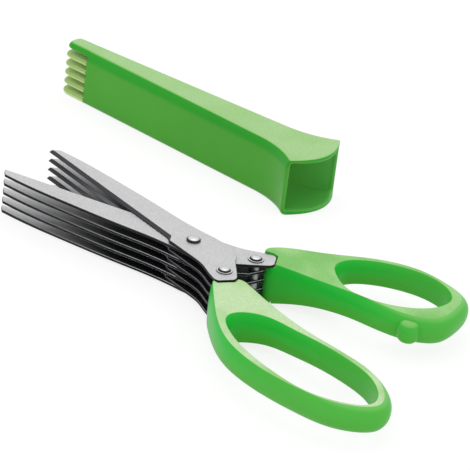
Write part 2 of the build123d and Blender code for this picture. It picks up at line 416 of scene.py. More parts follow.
def carved(mesh: bpy.types.Mesh, tool: bpy.types.Mesh, operation: str) -> bpy.types.Mesh:
    """Mesh after an exact Boolean with a tool mesh.

    Args:
        mesh: The mesh to work on.
        tool: Closed mesh of the tool.
        operation: DIFFERENCE or UNION.

    Returns:
        A new mesh of the same name.
    """
    work, cutter = linked("work", mesh), linked("tool", tool)
    step = work.modifiers.new("carve", "BOOLEAN")
    step.solver, step.operation, step.object = "EXACT", operation, cutter
    made = bpy.data.meshes.new_from_object(work.evaluated_get(bpy.context.evaluated_depsgraph_get()))
    name = mesh.name
    for each in (work, cutter):
        bpy.data.objects.remove(each)
    for old in (mesh, tool):
        bpy.data.meshes.remove(old)
    without_slivers(made)
    made.name = name
    return made


def without_slivers(mesh: bpy.types.Mesh) -> None:
    """Takes the slivers out of a mesh that a Boolean left: short edges, flat faces and folded pairs.

    Args:
        mesh: The mesh, changed in place.
    """
    with edited(mesh) as work:
        bmesh.ops.remove_doubles(work, verts=work.verts, dist=SLIVER)
        bmesh.ops.triangulate(work, faces=work.faces)
        bmesh.ops.dissolve_degenerate(work, edges=work.edges, dist=SLIVER)
        work.verts.index_update()
        groups: dict[frozenset[int], list[bmesh.types.BMFace]] = {}
        for face in work.faces:
            groups.setdefault(frozenset(vertex.index for vertex in face.verts), []).append(face)
        folded = [face for group in groups.values() if len(group) > 1 for face in group]
        bmesh.ops.delete(work, geom=folded, context="FACES")
        slits = [edge for edge in work.edges if edge.is_boundary]
        bmesh.ops.holes_fill(work, edges=slits, sides=LONGEST_SLIT)


# Finishes


class Val:
    """A shader value that takes part in arithmetic: each operator adds one Math node."""

    def __init__(self, graph: "Graph", socket: bpy.types.NodeSocket) -> None:
        """Wraps one output socket of a graph."""
        self.graph, self.socket = graph, socket

    def __add__(self, other: "Term") -> "Val":
        """Sum."""
        return self.graph.math("ADD", self, other)

    def __sub__(self, other: "Term") -> "Val":
        """Difference."""
        return self.graph.math("SUBTRACT", self, other)

    def __rsub__(self, other: "Term") -> "Val":
        """Difference from a number."""
        return self.graph.math("SUBTRACT", other, self)

    def __mul__(self, other: "Term") -> "Val":
        """Product."""
        return self.graph.math("MULTIPLY", self, other)

    def __abs__(self) -> "Val":
        """Size without sign."""
        return self.graph.math("ABSOLUTE", self)

    __radd__ = __add__

    def added(self, least: float, spread: float) -> "Val":
        """A least value and, on top of it, this value times a spread."""
        return least + self * spread

    def over(self, low: float, high: float) -> "Val":
        """Smooth step from 0 at low to 1 at high."""
        settings = {"interpolation_type": "SMOOTHSTEP"}
        return self.graph.node("ShaderNodeMapRange", settings, {0: self, 1: low, 2: high})


Term = Union[Val, float]


class Graph:
    """Node tree of one material, or of the world."""

    def __init__(self, name: str, kind: str = "materials") -> None:
        """Starts an empty tree, in a new material unless another kind of data is named.

        Args:
            name: Name of the material or world.
            kind: Collection that it is made in.
        """
        self.owner = getattr(bpy.data, kind).new(name)
        self.owner.use_nodes = True
        self.tree = self.owner.node_tree
        self.tree.nodes.clear()

    def node(self, kind: str, settings: Optional[dict[str, Any]] = None,
             inputs: Optional[dict[Any, Any]] = None, output: Any = 0) -> Val:
        """Adds any node.

        Args:
            kind: Type of the node.
            settings: Properties that are set before the sockets.
            inputs: Values or links by socket name or number.
            output: Name or number of the output that is returned.

        Returns:
            The output.
        """
        made = self.tree.nodes.new(kind)
        for key, value in (settings or {}).items():
            setattr(made, key, value)
        for key, value in (inputs or {}).items():
            if isinstance(value, Val):
                self.tree.links.new(value.socket, made.inputs[key])
            else:
                made.inputs[key].default_value = value
        return Val(self, made.outputs[output] if len(made.outputs) else None)

    def math(self, operation: str, *terms: Term) -> Val:
        """Math node on one or two terms."""
        return self.node("ShaderNodeMath", {"operation": operation}, dict(enumerate(terms)))

    def mix(self, share: Term, first: Any, second: Any, blend: str = "MIX") -> Val:
        """Mix of two colours by a share of the second."""
        settings = {"data_type": "RGBA", "blend_type": blend}
        return self.node("ShaderNodeMix", settings, {0: share, 6: first, 7: second}, 2)

    def tinted(self, colour: Any, amount: Val) -> Val:
        """Colour times a grey amount that may vary."""
        grey = self.node("ShaderNodeCombineColor", None, {0: amount, 1: amount, 2: amount})
        return self.mix(1.0, colour, grey, "MULTIPLY")

    def place(self, degrees: float = 0.0, stretch: Sequence[float] = (1, 1, 1)) -> Val:
        """Object coordinates in millimetres, turned about Z and then stretched.

        Args:
            degrees: Turn about Z.
            stretch: Factors along the three axes after the turn.

        Returns:
            The coordinates.
        """
        point = self.node("ShaderNodeTexCoord", None, None, "Object")
        turn = {"Vector": point, "Rotation": (0, 0, math.radians(degrees)), "Scale": (1 / METRE,) * 3}
        point = self.node("ShaderNodeMapping", {"vector_type": "POINT"}, turn)
        return self.node("ShaderNodeVectorMath", {"operation": "MULTIPLY"}, {0: point, 1: tuple(stretch)})

    def noise(self, place: Val, scale: float, detail: float = 2.0, roughness: float = 0.5) -> Val:
        """Noise between 0 and 1 about a middle of one half."""
        return self.node("ShaderNodeTexNoise", None, {
            "Vector": place, "Scale": scale, "Detail": detail, "Roughness": roughness})

    def part(self, vector: Val, axis: str) -> Val:
        """One part of a vector: X, Y or Z."""
        return self.node("ShaderNodeSeparateXYZ", None, {0: vector}, axis)

    def reach(self) -> Val:
        """Distance from the pivot's axis in millimetres."""
        flat = self.place(0.0, (1, 1, 0))
        return self.node("ShaderNodeVectorMath", {"operation": "LENGTH"}, {0: flat}, "Value")

    def normal(self) -> Val:
        """Direction of the surface."""
        return self.node("ShaderNodeNewGeometry", None, None, "Normal")

    def facing(self) -> Val:
        """How far the surface faces up: 1 on a level top, 0 on a wall and -1 underneath."""
        return self.part(self.normal(), "Z")

    def rise(self) -> Val:
        """How far the surface faces up or down: 0 on a wall and 1 on a level face."""
        return abs(self.facing())

    def bump(self, height: Val, depth: float) -> Val:
        """Normal bent by a height of a depth in millimetres."""
        return self.node("ShaderNodeBump", None, {"Height": height, "Distance": depth * METRE})

    def finished(self, inputs: dict[str, Any]) -> bpy.types.Material:
        """Closes the graph with a Principled shader and returns the material.

        Args:
            inputs: Values or links of the shader's sockets.

        Returns:
            The material.
        """
        shader = self.node("ShaderNodeBsdfPrincipled", None, inputs)
        self.node("ShaderNodeOutputMaterial", None, {"Surface": shader})
        return self.owner


def shade(red: int, green: int, blue: int) -> Colour:
    """Linear colour of a screen colour with parts from 0 to 255, by the standard screen curve.

    Args:
        red: Red part.
        green: Green part.
        blue: Blue part.

    Returns:
        The colour, opaque.
    """
    parts = [part / 255 for part in (red, green, blue)]
    linear = [part / 12.92 if part <= 0.04045 else ((part + 0.055) / 1.055) ** 2.4 for part in parts]
    return (*linear, 1.0)


@dataclass(frozen=True)
class Hollow:
    """Inner side of a long hollow piece that lies along X, with its axis at a place in Y and Z, painted
    brighter towards its deep end as painted light.
    """

    axis: Point
    start: float
    end: float
    lit_deep_colour: Colour
    mouth_colour: Colour
    fade: float = 30.0
    edge: float = 1.0
    inner: Point = (-2.5, -0.5)

    def colour(self, g: Graph) -> Val:
        """Colour that goes from the painted light of the deep end to the mouth."""
        near = g.part(g.place(), "X").over(self.end - self.fade, self.end)
        return g.mix(near, self.lit_deep_colour, self.mouth_colour)

    def share(self, g: Graph) -> Val:
        """1 where the surface is past the start and faces the axis, 0 elsewhere.

        Facing is the dot product of the place and the normal about the axis, negative on the inside.

        Args:
            g: Graph of the piece's material.

        Returns:
            The share.
        """
        normal, place = g.normal(), g.place()
        across, up = ((g.part(place, k) - middle) * g.part(normal, k) for k, middle in zip("YZ", self.axis))
        past = g.part(place, "X").over(self.start, self.start + self.edge)
        return past * (1 - (across + up).over(*self.inner))


@dataclass(frozen=True)
class Comb:
    """Teeth at one end of a piece that lies along X, painted paler than the rest as painted light."""

    root: float
    top: float
    tone: Colour
    lit_underside_tone: Colour
    underside: Point = (-0.35, 0.15)
    root_edge: float = 0.8
    top_edge: float = 0.5
    most: float = 0.8

    def colour(self, g: Graph) -> Val:
        """Colour of the teeth, with what faces down painted paler as painted light that stands in for light
        in the thin gaps between them.
        """
        return g.mix(g.facing().over(*self.underside), self.lit_underside_tone, self.tone)

    def share(self, g: Graph) -> Val:
        """Largest on the teeth below the top one, 0 elsewhere.

        Args:
            g: Graph of the piece's material.

        Returns:
            The share.
        """
        place = g.place()
        behind = g.part(place, "X").over(self.root - self.root_edge, self.root)
        above = g.part(place, "Z").over(self.top - self.top_edge, self.top)
        return (1 - behind) * (1 - above) * self.most


@dataclass(frozen=True)
class MouldedPlastic:
    """Green plastic: textured level faces painted paler, partly as painted sheen, and walls with painted
    reflection and shade that differ above and below their middle.

    Each band is a range of the surface's tilt, or of the noise for pale_band and of the distance
    from the pivot for far, over which one colour gives way to the next. Each tint is the least
    brightness and what the noise adds to it. wall_grain is the share of the grain's depth on walls.
    """

    name: str
    wall: Colour
    # The lower wall colour is painted shade, the shoulder colour an emerald painted reflection and the
    # crease colour a painted highlight.
    shaded_low_wall: Colour
    shoulder: Colour
    crease_highlight: Colour
    # Level faces are paler than the walls, partly a textured finish and partly painted sheen.
    face: Colour
    pale_face: Colour
    far_wall: Optional[Colour] = None
    far: Point = (52.0, 104.0)
    far_most: float = 0.85
    low_band: Point = (-0.10, 0.0)
    shoulder_reflection_band: Point = (0.0, 0.14)
    crease_highlight_band: Point = (0.66, 0.85)
    level_band: Point = (0.86, 0.985)
    pale_band: Point = (0.36, 0.60)
    broad_scale: float = 0.045
    fine_scale: float = 1.3
    wall_tint: Point = (0.93, 0.14)
    face_tint: Point = (0.76, 0.46)
    face_roughness: float = 0.5
    wall_roughness: float = 0.36
    uneven: float = 0.08
    wall_grain: float = 0.12
    grain: float = 0.03
    ior: float = 1.48
    specular: float = 0.13

    def material(self, *patches: Union[Hollow, Comb]) -> bpy.types.Material:
        """Builds the material.

        Args:
            patches: Places of the piece that have a colour of their own.

        Returns:
            The material.
        """
        g = Graph(self.name)
        point, facing = g.place(), g.facing()
        rise = abs(facing)
        broad = g.noise(point, self.broad_scale)
        fine = g.noise(point, self.fine_scale, detail=3.0, roughness=0.65)
        level = rise.over(*self.level_band)
        # Walls that face down take painted shade, and walls that face up an emerald painted reflection.
        wall = g.mix(facing.over(*self.low_band), self.shaded_low_wall, self.wall)
        wall = g.mix(facing.over(*self.shoulder_reflection_band), wall, self.shoulder)
        if self.far_wall is not None:
            wall = g.mix(g.reach().over(*self.far) * self.far_most, wall, self.far_wall)
        # Painted highlight along the crease between a wall and a level face.
        wall = g.mix(rise.over(*self.crease_highlight_band), wall, self.crease_highlight)
        wall = g.tinted(wall, broad.added(*self.wall_tint))
        # Paler level faces: partly a textured finish, partly painted sheen.
        face = g.mix(broad.over(*self.pale_band), self.face, self.pale_face)
        face = g.tinted(face, fine.added(*self.face_tint))
        colour = g.mix(level, wall, face)
        for patch in patches:
            colour = g.mix(patch.share(g), colour, patch.colour(g))
        rough = self.wall_roughness + level * (self.face_roughness - self.wall_roughness)
        rough = rough + (fine - 0.5) * self.uneven
        return g.finished({
            "Base Color": colour, "Roughness": rough, "IOR": self.ior, "Specular IOR Level": self.specular,
            "Normal": g.bump(fine * level.added(self.wall_grain, 1 - self.wall_grain), self.grain)})


@dataclass(frozen=True)
class GroundSteel:
    """Stainless blade steel: cross-ground faces, a dull ground bevel and stamped sides painted near-black
    as painted shade.

    A blade that lies under others is painted dark near the pivot as painted shade, with painted
    highlights on its edges there, and comes clear between two distances from the pivot. tint is the
    least brightness and what the grinding lines, the grain and the broad clouds add to it. uneven and
    relief_shares are what the lines and the grain do to the roughness and to the relief.
    """

    name: str
    degrees: float
    face: Colour = shade(198, 198, 199)
    # Painted shade on the faces of blades under others, near the pivot.
    pivot_shade: Colour = shade(30, 30, 33)
    bevel: Colour = shade(60, 60, 63)
    # Sides painted near-black: painted shade.
    side: Colour = shade(24, 24, 27)
    # Painted highlight on the edges of blades under others, near the pivot.
    near_bevel_highlight: Colour = shade(132, 132, 135)
    clear: Point = (34.0, 74.0)
    level_band: Point = (0.90, 0.97)
    bevel_band: Point = (0.40, 0.62)
    line_stretch: Triple = (3.4, 0.4, 1.0)
    grain_scale: float = 1.2
    cloud_scale: float = 0.07
    tint: tuple[float, float, float, float] = (0.61, 0.24, 0.44, 0.10)
    metallic: float = 0.92
    pivot_shade_metallic: float = 0.25
    roughness: float = 0.46
    uneven: Point = (0.20, 0.12)
    relief: float = 0.012
    relief_shares: Point = (0.7, 0.3)
    specular: float = 0.15

    def material(self, below: bool) -> bpy.types.Material:
        """Builds the material.

        Args:
            below: Whether the blade lies under others.

        Returns:
            The material.
        """
        g = Graph(self.name + ("_below" if below else "_top"))
        rise = g.rise()
        lines = g.noise(g.place(self.degrees, self.line_stretch), 1.0, detail=3.0, roughness=0.7)
        grain = g.noise(g.place(self.degrees), self.grain_scale, roughness=0.6)
        cloud = g.noise(g.place(self.degrees), self.cloud_scale, detail=1.0)
        level = rise.over(*self.level_band)
        face: Any = self.face
        bevel: Any = self.bevel
        metal = level * self.metallic
        # Blades under others: painted shade near the pivot that fades with distance, and painted highlights
        # on their edges there.
        if below:
            outer = g.reach().over(*self.clear)
            face = g.mix(outer, self.pivot_shade, self.face)
            bevel = g.mix(outer, self.near_bevel_highlight, self.bevel)
            metal = metal * outer.added(self.pivot_shade_metallic, 1 - self.pivot_shade_metallic)
        # Walls take the near-black side colour, a painted shade; the bevel keeps its own colour.
        colour = g.mix(rise.over(*self.bevel_band), self.side, bevel)
        colour = g.mix(level, colour, face)
        least, by_lines, by_grain, by_cloud = self.tint
        colour = g.tinted(colour, least + lines * by_lines + grain * by_grain + cloud * by_cloud)
        rough = self.roughness + (lines - 0.5) * self.uneven[0] + (grain - 0.5) * self.uneven[1]
        height = lines * self.relief_shares[0] + grain * self.relief_shares[1]
        return g.finished({
            "Base Color": colour, "Roughness": rough, "Metallic": metal,
            "Specular IOR Level": self.specular, "Normal": g.bump(height, self.relief)})


@dataclass(frozen=True)
class RivetSteel:
    """Polished rivet steel whose heads are painted darker towards their rims, a painted dark reflection.

    tint and metallic are each a least value and what the marks or the band add to it.
    """

    name: str
    crown: Colour = shade(214, 214, 217)
    # Painted dark reflection round the rims of the heads.
    skirt: Colour = shade(34, 34, 38)
    crown_band: Point = (0.85, 0.98)
    metal_band: Point = (0.6, 0.9)
    mark_scale: float = 1.6
    tint: Point = (0.84, 0.26)
    metallic: Point = (0.25, 0.7)
    roughness: float = 0.22
    uneven: float = 0.16
    relief: float = 0.03
    specular: float = 0.25

    def material(self) -> bpy.types.Material:
        """Builds the material.

        Returns:
            The material.
        """
        g = Graph(self.name)
        rise = g.rise()
        marks = g.noise(g.place(), self.mark_scale, detail=3.0, roughness=0.6)
        # Painted dark reflection: the heads darken from the crown towards the rim.
        colour = g.mix(rise.over(*self.crown_band), self.skirt, self.crown)
        colour = g.tinted(colour, marks.added(*self.tint))
        return g.finished({
            "Base Color": colour, "Roughness": self.roughness + (marks - 0.5) * self.uneven,
            "Metallic": rise.over(*self.metal_band).added(*self.metallic),
            "Specular IOR Level": self.specular, "Normal": g.bump(marks, self.relief)})


@dataclass(frozen=True)
class TurnedSteel:
    """Turned steel of the washers, with fine lines round their sides."""

    name: str
    tone: Colour = shade(150, 150, 154)
    line_stretch: Triple = (0.2, 0.2, 7.0)
    tint: Point = (0.75, 0.5)
    metallic: float = 0.9
    roughness: float = 0.32
    uneven: float = 0.2
    relief: float = 0.01

    def material(self) -> bpy.types.Material:
        """Builds the material.

        Returns:
            The material.
        """
        g = Graph(self.name)
        lines = g.noise(g.place(0.0, self.line_stretch), 1.0, roughness=0.6)
        return g.finished({
            "Base Color": g.tinted(self.tone, lines.added(*self.tint)),
            "Roughness": self.roughness + (lines - 0.5) * self.uneven,
            "Metallic": self.metallic, "Normal": g.bump(lines, self.relief)})


def dressed(mesh: bpy.types.Mesh, material: bpy.types.Material, body: str,
            nodes: Sequence[str], sharp: float) -> None:
    """Puts a finished mesh into the scene as one piece.

    Args:
        mesh: The mesh, in metres in the CAD frame. Its name becomes the piece's.
        material: Its finish.
        body: CAD body that it rides on.
        nodes: CAD nodes that it stands for.
        sharp: Angle in degrees from which an edge is shown sharp.
    """
    mesh.materials.clear()
    mesh.materials.append(material)
    mesh.shade_smooth()
    mesh.set_sharp_from_angle(angle=math.radians(sharp))
    piece = linked(mesh.name, mesh)
    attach(piece, body)
    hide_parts(*nodes)
    LOG.info("%s: %d faces, rides on %s", piece.name, len(mesh.polygons), body)


# Scissors


@dataclass(frozen=True)
class Tail:
    """Tail of a blade. Its outline is in shares of the distance from the pivot to the tail rivet."""

    reach: float = 24.13
    angle: float = 12.73
    outer: tuple[Point, ...] = (
        (-0.17, -0.325), (0.30, -0.348), (0.66, -0.385), (0.92, -0.475), (1.10, -0.525))
    end: tuple[Point, ...] = ((1.17, -0.507), (1.275, -0.265))
    tang_end: tuple[Point, ...] = ((1.12, -0.505), (1.144, -0.315))
    inner: tuple[Point, ...] = (
        (1.235, -0.190), (0.998, -0.003), (0.845, 0.115), (0.72, 0.236), (0.54, 0.322), (0.34, 0.350),
        (0.08, 0.348))
    gap: float = 0.5

    def points(self, shares: Sequence[Point]) -> np.ndarray:
        """Points in millimetres from shares."""
        return np.array(shares) * self.reach

    def pocket(self, low: float, high: float) -> np.ndarray:
        """Grid of the room round the tail between two levels.

        Args:
            low: Lower level.
            high: Upper level.

        Returns:
            Rings of the room.
        """
        loop = joined(self.points(self.outer), self.points(self.end), self.points(self.inner))
        loop = loop - self.gap * inward(loop)
        return slab(loop, low, high)

    @property
    def rivet(self) -> Point:
        """Centre of the tail rivet while the finger half is shut."""
        turn = math.radians(self.angle)
        return self.reach * math.cos(turn), -self.reach * math.sin(turn)


TAIL = Tail()


@dataclass
class Blades:
    """The ten blades: one stamping, turned over for the thumb half, with a ground edge."""

    length: float = 84.0
    tip_drop: float = 1.0
    nose: Point = (-83.4, 0.5)
    heel: Point = (-7.2, -6.1)
    back: tuple[Point, ...] = ((0.972, 0.031), (0.84, 0.050), (0.60, 0.066), (0.34, 0.076), (0.13, 0.081))
    bevel: float = 1.3
    land: float = 0.25
    chamfer: float = 0.14
    run_out: float = 3.0
    tail_corner: float = 0.9
    nose_round: float = 0.7
    tang_length: float = 13.0
    tang_width: float = 3.6
    tang_angle: float = 25.0
    bores: Point = (1.65, 1.5)
    drill: Point = (-2.0, 3.0)
    sharp: float = 20.0

    @property
    def tip(self) -> Point:
        """Tip of a shut finger blade."""
        return -self.length, -self.tip_drop

    def outline(self, has_tang: bool) -> np.ndarray:
        """Closed plan outline.

        Args:
            has_tang: Whether the tail runs on into the handle.

        Returns:
            Loop of points for a shut finger blade.
        """
        ends = (TAIL.tang_end, TAIL.inner[1:]) if has_tang else (TAIL.end, TAIL.inner)
        outer, end, inner = (TAIL.points(shares) for shares in (TAIL.outer, *ends))
        edge_run = np.linspace(self.heel, outer[0], 8)
        back = np.array(self.back) * self.length * np.array([-1, 1])
        back_run = spline(np.vstack([inner[-1:], back[::-1]]))
        cut = self.tang(end) if has_tang else end
        loop = joined([self.tip], edge_run, spline(outer), cut, spline(inner), back_run, [self.nose])
        loop = rounded(loop, self.nose, self.nose_round, steps=6)
        if not has_tang:
            for corner in end:
                loop = rounded(loop, tuple(corner), self.tail_corner, steps=6)
        return loop

    def tang(self, end: np.ndarray) -> np.ndarray:
        """Outline of a tang: a strip from the middle of a tail's two end points, and those points.

        Args:
            end: The two end points of the tail.

        Returns:
            The points, in the order of the outline.
        """
        turn = math.radians(-self.tang_angle)
        along = np.array([math.cos(turn), math.sin(turn)]) * self.tang_length
        across = np.array([-math.sin(turn), math.cos(turn)]) * self.tang_width / 2
        lower, upper = end.mean(axis=0) - across, end.mean(axis=0) + across
        return np.array([end[0], lower, lower + along, upper + along, upper, end[1]])

    def grid(self, has_tang: bool) -> np.ndarray:
        """Rings of one blade: lower chamfer, side, and an upper face that is ground back at the edge.

        The ground width is full between tip and heel and fades along the line past the heel.

        Args:
            has_tang: Whether the tail runs on into the handle.

        Returns:
            Grid of four rings, with its underside at level 0.
        """
        loop = self.outline(has_tang)
        tip, heel = np.array(self.tip), np.array(self.heel)
        edge = np.linalg.norm(heel - tip)
        along = (heel - tip) / edge
        past = (loop - tip) @ along - edge
        depth = (loop - tip) @ np.array([-along[1], along[0]])
        at_edge = (depth < self.land) & (past < self.run_out)
        ground = np.where(at_edge, 1 - np.clip(past / self.run_out, 0, 1), 0.0)
        thick, thin = STACK.thickness, self.chamfer
        inset = thin + ground * (self.bevel - thin)
        shoulder = thick - thin - ground * (thick - thin - self.land)
        none = np.zeros_like(inset)
        insets = np.stack([none + thin, none, none, inset])
        levels = np.stack([none, none + thin, shoulder, none + thick])
        return rings(loop, insets, levels)

    def build(self) -> None:
        """Builds and dresses all ten blades."""
        centres = ((0.0, 0.0), TAIL.rivet)
        for half in Half:
            steel = GroundSteel(half.word + "_blade_steel", -half.angle)
            if half.flipped:
                # The thumb half's covered blades: brighter painted highlights on their edges, and painted
                # shade that fades over a longer reach.
                steel = replace(
                    steel, bevel=shade(74, 74, 77), near_bevel_highlight=shade(186, 186, 189), clear=(26.0, 80.0))
            finishes = [steel.material(below) for below in (False, True)]
            for index in range(STACK.pairs):
                lift = STACK.level(half, index) + (STACK.thickness if half.flipped else 0.0)
                shape = Skin().add(self.placed(self.grid(0 < index < STACK.pairs - 1), half, lift))
                drill = Skin()
                for centre, radius in zip(centres, self.bores):
                    bore = revolved([(radius, end) for end in self.drill], spokes=40)
                    drill.add(self.placed(bore + np.array([*centre, 0.0]), half, lift))
                node = "%s_blade_%d" % (half.word, index + 1)
                mesh = carved(shape.mesh("ground_" + node), drill.mesh("bores"), "DIFFERENCE")
                dressed(mesh, finishes[index > 0], half.body, [node], self.sharp)

    @staticmethod
    def placed(grid: np.ndarray, half: Half, lift: float) -> np.ndarray:
        """Grid of a blade at its place in the stack."""
        return turned(grid, half.angle, half.flipped) + np.array([0, 0, lift])


@dataclass
class Rivets:
    """The pivot rivet and the two tail rivets, as turned profiles.

    Each dome is its radius and its height, and tail_swing is the part of a quarter turn that the
    tail rivets' domes take in.
    """

    pivot_shaft: float = 1.6
    pivot_dome: Point = (2.67, 1.2)
    pivot_foot: float = 3.0
    tail_shaft: float = 1.45
    tail_head: float = 3.0
    tail_flange: float = 0.35
    tail_dome: Point = (2.3, 0.8)
    tail_foot: float = 1.0
    tail_lip: float = 0.17
    tail_groove: float = 0.12
    foot_round: float = 0.3
    skirt: float = 0.3
    skirt_lean: float = 0.1
    tail_swing: Point = (4.0, 90.0)
    sharp: float = 40.0

    def foot(self, radius: float, low: float, high: float, shaft: float) -> list[Point]:
        """Profile of a flat foot with a rounded lower edge, up to the shaft.

        Args:
            radius: Radius of the foot.
            low: Its lower level.
            high: Its upper level.
            shaft: Radius of the shaft above it.

        Returns:
            Radii and levels, from the middle of the foot.
        """
        middle = (radius - self.foot_round, low + self.foot_round)
        edge = arc(middle, (self.foot_round,) * 2, -90, 0, steps=6)
        return [(0.0, low), *edge, (radius, high), (shaft, high)]

    def pivot_profile(self) -> list[Point]:
        """Profile of the pivot rivet: foot, shaft, short skirt that leans out, and elliptical dome.

        Returns:
            Radii and levels, from the middle of the foot.
        """
        wide, tall = self.pivot_dome
        dome = arc((0.0, STACK.top + self.skirt), (wide, tall - self.skirt), 0, 90, steps=16)
        return [*self.foot(self.pivot_foot, 0.0, STACK.foot_height, self.pivot_shaft),
                (self.pivot_shaft, STACK.top), (wide - self.skirt_lean, STACK.top), *dome]

    def tail_profile(self, low: float, high: float) -> list[Point]:
        """Profile of a tail rivet between the outer faces of its blades: a flange round a low dome.

        Args:
            low: Level of the lowest blade's underside.
            high: Level of the top blade's upper face.

        Returns:
            Radii and levels, from the middle of the foot.
        """
        flange, wide = high + self.tail_flange, self.tail_dome[0]
        lip, cut = self.tail_lip, self.tail_groove
        rim = arc((self.tail_head - lip, flange - lip), (lip, lip), 0, 90, steps=5)
        groove = [(wide + cut, flange), (wide, flange - cut)]
        dome = arc((0.0, flange), self.tail_dome, *self.tail_swing, steps=16)
        return [*self.foot(self.tail_head, low - self.tail_foot, low, self.tail_shaft),
                (self.tail_shaft, high), (self.tail_head, high), *rim, *groove, *dome]

    def build(self) -> None:
        """Builds and dresses the three rivets."""
        finish = RivetSteel("polished_rivet_steel").material()
        mesh = Skin().add(revolved(self.pivot_profile())).mesh("domed_pivot_rivet")
        dressed(mesh, finish, Half.FINGER.body, ["pivot_rivet"], self.sharp)
        for half in Half:
            low = STACK.level(half, STACK.pairs - 1)
            high = STACK.level(half, 0) + STACK.thickness
            x, y = TAIL.rivet
            centre = turned(np.array([[[x, -half.value * y, 0.0]]]), half.angle)
            grid = revolved(self.tail_profile(low, high)) + centre
            mesh = Skin().add(grid).mesh("domed_%s_rivet" % half.word)
            dressed(mesh, finish, half.body, ["%s_rivet" % half.word], self.sharp)


@dataclass
class Handle:
    """One moulded handle: a ring surface with level faces, rounded edges and barrelled walls.

    It runs in X from its front, which slants back to the mouth on the inner side, to its reach.
    Outlines are shares of the length past the front and of the depth, and corners are shares of the
    depth. The barrel's upper and lower ends are inset by amounts that change along the handle: each
    of swell_high, swell_low and swell_hole is the inset at the front, the inset at the far end, and
    the share of the length from which it changes.
    """

    half: Half
    front: float
    reach: float
    depth: float
    mouth: float
    outline: tuple[Point, ...]
    hole: tuple[Point, ...]
    corners: Point
    shift: float
    front_top: float
    lift_fall: float
    stop_rise: float
    stop_height: float
    stop_root: float
    swell_high: Triple
    swell_low: Triple
    swell_hole: Triple
    ground_gap: float = 0.1
    rim_height: float = 9.7
    height_start: float = 22.0
    height_fall: float = 20.0
    corner_reach: float = 3.0
    edge_round: float = 0.5
    edge_steps: int = 6
    barrel_power: float = 2.4
    barrel_rings: int = 15
    cap_rings: int = 16
    low_scoop_share: float = 0.5
    stations: int = 480
    stop_place: float = 85.6
    stop_radius: float = 4.2
    stop_lift: float = 0.15
    stop_round: float = 3.1
    stop_near: float = 1.0
    sharp: float = 34.0

    @property
    def middle(self) -> float:
        """Level of the middle of the bow."""
        return STACK.middle + self.shift

    def at(self, shares: Sequence[Point]) -> np.ndarray:
        """Points from shares of the length past the front and of the depth."""
        return np.array([(self.front + x * (self.reach - self.front), y * self.depth) for x, y in shares])

    def level(self, flat: np.ndarray, side: int) -> np.ndarray:
        """Level of the upper (1) or lower (-1) face: a bell curve of the distance from the pivot.

        Args:
            flat: Places in plan.
            side: Which face.

        Returns:
            One level for each place.
        """
        run = np.maximum(np.hypot(flat[..., 0], flat[..., 1]) - self.height_start, 0)
        front, fall = (self.front_top, self.height_fall) if side > 0 else (self.ground_gap, self.lift_fall)
        rim = self.middle + side * self.rim_height / 2
        return rim + (front - rim) * np.exp(-((run / fall) ** 2))

    def swell(self, loop: np.ndarray, sizes: Triple) -> np.ndarray:
        """Inset of a barrel's end at each point: a smooth step of the share of the length.

        Args:
            loop: Points in plan.
            sizes: One of the three swells.

        Returns:
            One inset for each point.
        """
        near, far, start = sizes
        share = ((loop[:, 0] - self.front) / (self.reach - self.front) - start) / (1 - start)
        share = np.clip(share, 0, 1)
        return near + (far - near) * share**2 * (3 - 2 * share)

    def outer_loop(self) -> np.ndarray:
        """Outside of the handle in plan, evenly sampled.

        Returns:
            Closed loop of points.
        """
        first = (self.front, self.corners[0] * self.depth)
        second = (self.mouth, self.corners[1] * self.depth)
        side = spline(np.vstack([second, self.at(self.outline), first]))
        loop = joined(side, np.linspace(first, second, 30)[1:-1])
        for corner in (first, second):
            loop = rounded(loop, corner, self.corner_reach)
        return evenly(loop, self.stations)

    def hole_loop(self, outer: np.ndarray) -> np.ndarray:
        """Hole of the bow in plan, sampled at the same angles about its centre as the outside.

        Args:
            outer: Outside of the handle in plan.

        Returns:
            Loop with as many points as the outside.
        """
        ring = joined(spline(self.at(self.hole), closed=True, steps=120))
        centre = ring.mean(axis=0)
        angle = [np.unwrap(np.arctan2(*(line - centre).T[::-1])) for line in (outer, ring)]
        wide = np.concatenate([angle[1] - 2 * math.pi, angle[1], angle[1] + 2 * math.pi])
        turn = 2 * math.pi * np.round((angle[1].mean() - angle[0].mean()) / (2 * math.pi))
        line = np.vstack([ring] * 3)
        return np.stack([np.interp(angle[0] + turn, wide, line[:, k]) for k in range(2)], axis=1)

    def wall(self, loop: np.ndarray, swells: Sequence[np.ndarray], sign: int) -> np.ndarray:
        """Rings down one wall: a quarter round, a barrel whose inset grows as a power, a quarter round.

        Args:
            loop: Plan loop of the wall at its middle.
            swells: Insets of the barrel at its upper and at its lower end, one for each point.
            sign: 1 where the plastic lies inside the loop, -1 where it lies outside.

        Returns:
            Rings from the top face to the bottom face.
        """
        power, radius, steps = self.barrel_power, self.edge_round, self.edge_steps
        room = (self.level(loop, 1) - self.level(loop, -1)) / 2 - radius
        edges = []
        for swell in swells:
            last = np.arctan(room / (swell * power))
            turn = np.linspace(0, 1, steps)[:, None] * last
            edges.append((swell + radius * (np.sin(last) - np.sin(turn)), radius * (1 - np.cos(turn))))
        part = np.linspace(1, -1, self.barrel_rings + 2)[1:-1, None] * np.ones_like(room)
        barrel = np.where(part > 0, swells[0], swells[1]) * np.abs(part) ** power
        insets = np.vstack([edges[0][0], barrel, edges[1][0][::-1]])
        flat = loop[None] + sign * insets[..., None] * inward(loop)[None]
        high, low = self.level(flat, 1), self.level(flat, -1)
        level = np.empty_like(insets)
        level[:steps] = high[:steps] - edges[0][1]
        level[-steps:] = low[-steps:] + edges[1][1][::-1]
        between = slice(steps, -steps)
        high, low = high[between] - edges[0][1][-1], low[between] + edges[1][1][-1]
        level[between] = (high + low) / 2 + part * (high - low) / 2
        return np.concatenate([flat, level[..., None]], axis=2)

